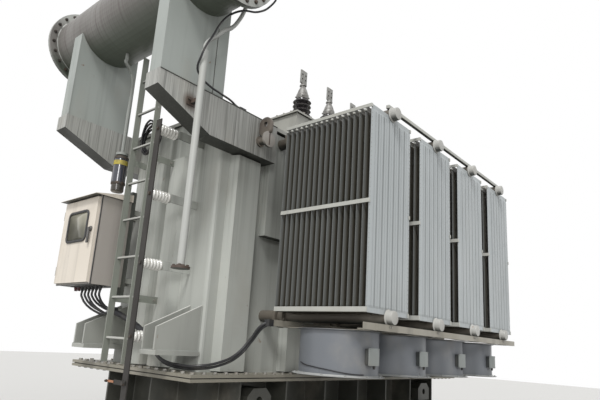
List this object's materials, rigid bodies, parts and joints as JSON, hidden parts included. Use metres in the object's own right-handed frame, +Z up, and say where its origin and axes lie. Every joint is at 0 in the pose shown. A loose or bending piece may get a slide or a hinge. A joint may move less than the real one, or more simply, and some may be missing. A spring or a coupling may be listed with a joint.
{
  "type": "oil-filled power transformer",
  "caption": "Oil-filled power transformer: bolted bell tank, overhead conservator, panel radiators over fans, ladder, jacking brackets and a control cabinet with a hinged door.",
  "frame": {"origin": "centre of the tank's flat underside, on the plinth", "axes": "+X along the tank away from the conservator, -Y to the radiators, +Z up"},
  "size_m": [4.4983, 2.7665, 3.5942],
  "materials": {
    "tank_paint": "weathered light grey enamel",
    "radiator_paint": "satin grey enamel",
    "fan_paint": "blue-grey enamel",
    "cabinet_paint": "warm beige enamel",
    "dark_glaze": "dark brown glaze",
    "white_glaze": "white glaze",
    "bare_metal": "worn nickel plate",
    "dark_steel": "dark painted flat bar",
    "rubber": "black rubber",
    "window_glass": "smoked sight glass over a dark inside",
    "silica_gel": "clear cylinder of blue gel"
  },
  "bodies": {
    "root": {"bar_insulator_1": "white_glaze", "bar_insulator_2": "white_glaze", "bar_insulator_3": "white_glaze", "bar_insulator_4": "white_glaze", "breather": "silica_gel", "breather_pipe": "tank_paint", "cabinet_body": "cabinet_paint", "cabinet_bracket": "tank_paint", "cabinet_hood": "cabinet_paint", "conservator_bracket_far": "tank_paint", "conservator_bracket_near": "tank_paint", "conservator_cover_far": "tank_paint", "conservator_cover_near": "tank_paint", "conservator_shell": "tank_paint", "conservator_support_far": "tank_paint", "conservator_support_near": "tank_paint", "drain_pipe": "tank_paint", "earth_bar": "dark_steel", "fan_rails": "tank_paint", "fan_rotor_1": "fan_paint", "fan_rotor_2": "fan_paint", "fan_rotor_3": "fan_paint", "fan_rotor_4": "fan_paint", "fan_shroud_1": "fan_paint", "fan_shroud_2": "fan_paint", "fan_shroud_3": "fan_paint", "fan_shroud_4": "fan_paint", "flange_gasket": "rubber", "hv_turret_1": "tank_paint", "hv_turret_2": "tank_paint", "hv_turret_3": "tank_paint", "jack_bracket_1": "tank_paint", "jack_bracket_2": "tank_paint", "jack_bracket_3": "tank_paint", "jack_bracket_4": "tank_paint", "ladder": "tank_paint", "lower_flange": "tank_paint", "lower_tank": "tank_paint", "lv_bushing_1": "dark_glaze", "lv_bushing_2": "dark_glaze", "lv_bushing_3": "dark_glaze", "lv_turret": "tank_paint", "oil_pipe": "tank_paint", "radiator_1": "radiator_paint", "radiator_2": "radiator_paint", "radiator_3": "radiator_paint", "radiator_4": "radiator_paint", "tank_body": "tank_paint", "tank_cover": "tank_paint", "upper_flange": "tank_paint"},
    "cabinet_door": {"cabinet_door": "cabinet_paint", "cabinet_window": "window_glass"},
    "cabinet_handle": {"cabinet_handle": "bare_metal"}
  },
  "joints": [
    {"name": "cabinet_door_hinge", "type": "hinge", "parent": "root", "child": "cabinet_door", "pos_m": [-2.1613, 0.767, 1.4], "axis": [0, 0, -1], "range_deg": [0, 110]},
    {"name": "cabinet_handle_turn", "type": "hinge", "parent": "cabinet_door", "child": "cabinet_handle", "pos_m": [-2.1723, 0.285, 1.475], "axis": [1, 0, 0], "range_deg": [0, 90]}
  ]
}
